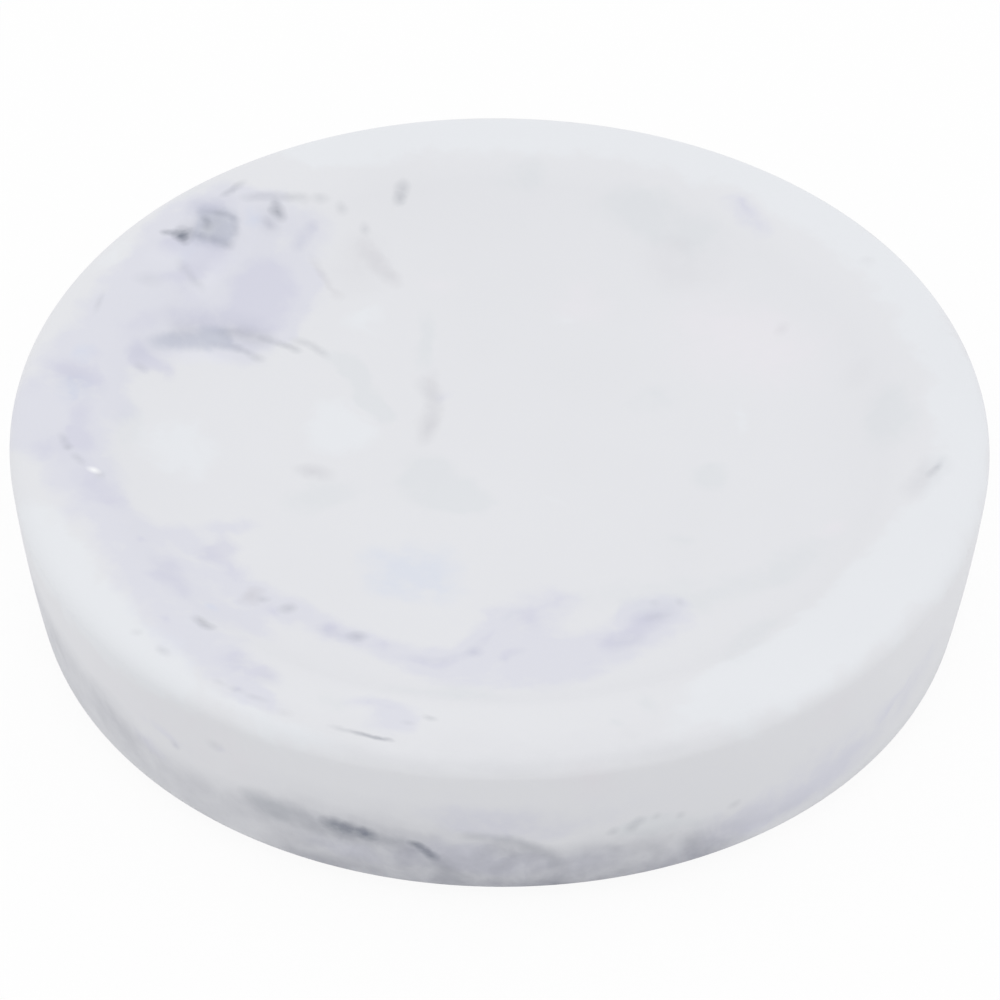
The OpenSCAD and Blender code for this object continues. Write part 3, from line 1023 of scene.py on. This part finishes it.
# %% [markdown]
# Soft polyurethane is clear like thick glass, with an IOR of about 1.5, and comes out of its
# mould glossy. What the eye sees is the white resin behind it, and a dull grey rub where it
# has stood on the counter and picked up dust. So half of the light passes through, and the
# dust both greys the colour and roughens the gloss, most at the bottom.

# %% Moulded clear polyurethane
POLYURETHANE_IOR = 1.5
CLEAR_TINT = "#F4F6F6"
CLEAR_SHARE = 0.5
COUNTER_DUST = "#C9C8C3"
RUB_HEIGHTS = (0.05, 0.6)
DUST = (1.8, 4.0)
DUST_SPAN = (0.4, 0.7)
MOST_DUST_SHARE = 0.5
GLOSS_ROUGHNESS = (0.12, 0.4)
MOULD_GRAIN = (0.5, 2.0)
GRAIN_DEPTH = 0.004
GRAIN_SHARE = 0.2


def polyurethane(tree):
    """Clear polyurethane, moulded glossy, with the dull rub that it gets from a counter."""
    place = in_millimetres(tree)
    height = add(tree, "ShaderNodeSeparateXYZ", (place,)).outputs["Z"]
    low = add(tree, "ShaderNodeMapRange", (height, *RUB_HEIGHTS, 1, 0))
    dust = add(tree, "ShaderNodeTexNoise", waves(place, *DUST))
    dust = add(tree, "ShaderNodeMapRange", (dust, *DUST_SPAN, 0, MOST_DUST_SHARE))
    rubbed = add(tree, "ShaderNodeMath", (low, dust), operation="MULTIPLY")
    tints = {"Factor": rubbed, "A": linear(CLEAR_TINT), "B": linear(COUNTER_DUST)}
    dull = (rubbed, 0, MOST_DUST_SHARE, *GLOSS_ROUGHNESS)
    grain = add(tree, "ShaderNodeTexNoise", waves(place, *MOULD_GRAIN))
    bump = {"Height": grain, "Strength": GRAIN_SHARE, "Distance": GRAIN_DEPTH * MM}
    inputs = {
        "Base Color": add(tree, "ShaderNodeMix", tints, data_type="RGBA"),
        "Roughness": add(tree, "ShaderNodeMapRange", dull),
        "IOR": POLYURETHANE_IOR,
        "Transmission Weight": CLEAR_SHARE,
        "Normal": add(tree, "ShaderNodeBump", bump),
    }
    return add(tree, "ShaderNodeBsdfPrincipled", inputs)


clear_polyurethane = made_of("moulded_clear_polyurethane", polyurethane)

# %% Mould the bumpers
BUMPER_TURNS = 96

for node in sorted(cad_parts):
    if node.endswith("_bumper"):
        low, high = box_mm(node)
        middle = ((low.x + high.x) / 2, (low.y + high.y) / 2)
        profile = bumper_section((high.x - low.x) / 2, low.z, high.z)
        bumper = turned(f"moulded_{node}", profile, BUMPER_TURNS, middle=middle)
        bumper.data.materials.append(clear_polyurethane)
        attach(bumper, "root")
        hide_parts(node)

# %% [markdown]
# A disc of double-sided acrylic film holds each bumper. It is flat and only 0.2 mm thick, so
# the CAD solid is its true shape and stays, and only its finish is made here: a milky coated
# sheet, with small trapped bubbles in the patches where it didn't wet the resin.

# %% Coated acrylic film
ACRYLIC_IOR = 1.48
FILM_MILK = "#E9E5DA"
FILM_BUBBLE = "#D2CEC2"
FILM_CLEAR_SHARE = 0.3
BUBBLE_SPACING = 0.9
BUBBLE_REACH = (0.12, 0.3)
WETTING = (3.0, 3.0)
DRY_SPAN = (0.4, 0.6)
FILM_ROUGHNESS = (0.35, 0.55)


def acrylic_film(tree):
    """Milky acrylic film, coated on both sides, with bubbles where it didn't wet."""
    place = in_millimetres(tree)
    cells = add(tree, "ShaderNodeTexVoronoi", {"Vector": place, "Scale": 1 / BUBBLE_SPACING})
    ends = (cells, *BUBBLE_REACH, 1, 0)
    bubble = add(tree, "ShaderNodeMapRange", ends, interpolation_type="SMOOTHSTEP")
    wetting = add(tree, "ShaderNodeTexNoise", waves(place, *WETTING))
    dry = add(tree, "ShaderNodeMapRange", (wetting, *DRY_SPAN, 0, 1))
    bubble = add(tree, "ShaderNodeMath", (bubble, dry), operation="MULTIPLY")
    tints = {"Factor": bubble, "A": linear(FILM_MILK), "B": linear(FILM_BUBBLE)}
    inputs = {
        "Base Color": add(tree, "ShaderNodeMix", tints, data_type="RGBA"),
        "Roughness": add(tree, "ShaderNodeMapRange", (wetting, *NOISE_SPAN, *FILM_ROUGHNESS)),
        "IOR": ACRYLIC_IOR,
        "Transmission Weight": FILM_CLEAR_SHARE,
    }
    return add(tree, "ShaderNodeBsdfPrincipled", inputs)


film = made_of("coated_acrylic_film", acrylic_film)
for node in sorted(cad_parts):
    if node.endswith("_film"):
        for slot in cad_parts[node].material_slots:
            slot.material = film
        print(f"{node}: {len(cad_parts[node].material_slots)} slot dressed")

# %% [markdown]
# The photograph has no highlight and hardly a shade: the dish stands in a tent of white cloth
# with light from all round. So the light is one even dome, and every difference of tone comes
# from how much of the dome a surface sees. That is why the wall darkens towards the counter.

# %% Light
SKY_STRENGTH = 1.0
WHITE = (1, 1, 1, 1)


def light_the_room():
    """An even white dome, as bright for a lit surface as for the camera."""
    world = bpy.data.worlds.new("studio")
    bpy.context.scene.world = world
    world.use_nodes = True
    tree = world.node_tree
    tree.nodes.clear()
    sky = add(tree, "ShaderNodeBackground", {"Color": WHITE, "Strength": SKY_STRENGTH})
    add(tree, "ShaderNodeOutputWorld", {"Surface": sky})
    return world


print("light from all round:", light_the_room().name)

# %% [markdown]
# The dish stands on a sweep of white paper. What the camera sees of it is almost pure white,
# with only the soft contact shadow. What lights the wall from below is the same paper, with
# painted shade in front of the dish: a grey that stands in for the weaker light where the
# photographer's own side of the tent is open.
# The paper lies a hair below the bumpers, so that no two faces share one plane.

# %% Floor
FLOOR_HALF = 4000
FLOOR_DROP = 0.02
PAPER_WHITE = "#F6F6F6"
# Painted shade: the paper is grey in front, in place of the weaker light from the open side of the
# tent.
PAPER_SHADE_IN_FRONT = "#E0E0E0"
GREY_FROM = -15
GREY_FULL = -75
PAPER_GLOW_SHARE = 0.93


def paper(tree):
    """Matt white paper with painted shade in front, which the camera sees nearly white."""
    front = add(tree, "ShaderNodeSeparateXYZ", (in_millimetres(tree),)).outputs["Y"]
    ends = (front, GREY_FULL, GREY_FROM, 1, 0)
    front = add(tree, "ShaderNodeMapRange", ends, interpolation_type="SMOOTHSTEP")
    greys = {"Factor": front, "A": linear(PAPER_WHITE), "B": linear(PAPER_SHADE_IN_FRONT)}
    shade = add(tree, "ShaderNodeMix", greys, data_type="RGBA")
    lit = add(tree, "ShaderNodeBsdfDiffuse", {"Color": shade})
    seen = add(tree, "ShaderNodeBsdfDiffuse", {"Color": linear(PAPER_WHITE)})
    glow = add(tree, "ShaderNodeEmission", {"Color": WHITE, "Strength": SKY_STRENGTH})
    seen = add(tree, "ShaderNodeMixShader", (PAPER_GLOW_SHARE, seen, glow))
    camera_ray = add(tree, "ShaderNodeLightPath").outputs["Is Camera Ray"]
    return add(tree, "ShaderNodeMixShader", (camera_ray, lit, seen))


def lay_floor():
    """A wide sheet of paper under the whole scene."""
    mesh = bpy.data.meshes.new("floor")
    corners = [(-FLOOR_HALF, -FLOOR_HALF), (FLOOR_HALF, -FLOOR_HALF)]
    corners += [(FLOOR_HALF, FLOOR_HALF), (-FLOOR_HALF, FLOOR_HALF)]
    mesh.from_pydata([(x * MM, y * MM, -FLOOR_DROP * MM) for x, y in corners], [], [(0, 1, 2, 3)])
    mesh.materials.append(made_of("paper_sweep", paper))
    floor = bpy.data.objects.new("floor", mesh)
    bpy.context.scene.collection.objects.link(floor)
    return floor


print("floor:", [round(side / MM) for side in lay_floor().dimensions], "mm")

# %% [markdown]
# The Standard view shows each colour about as it is written.

# %% The view
bpy.context.scene.view_settings.view_transform = "Standard"
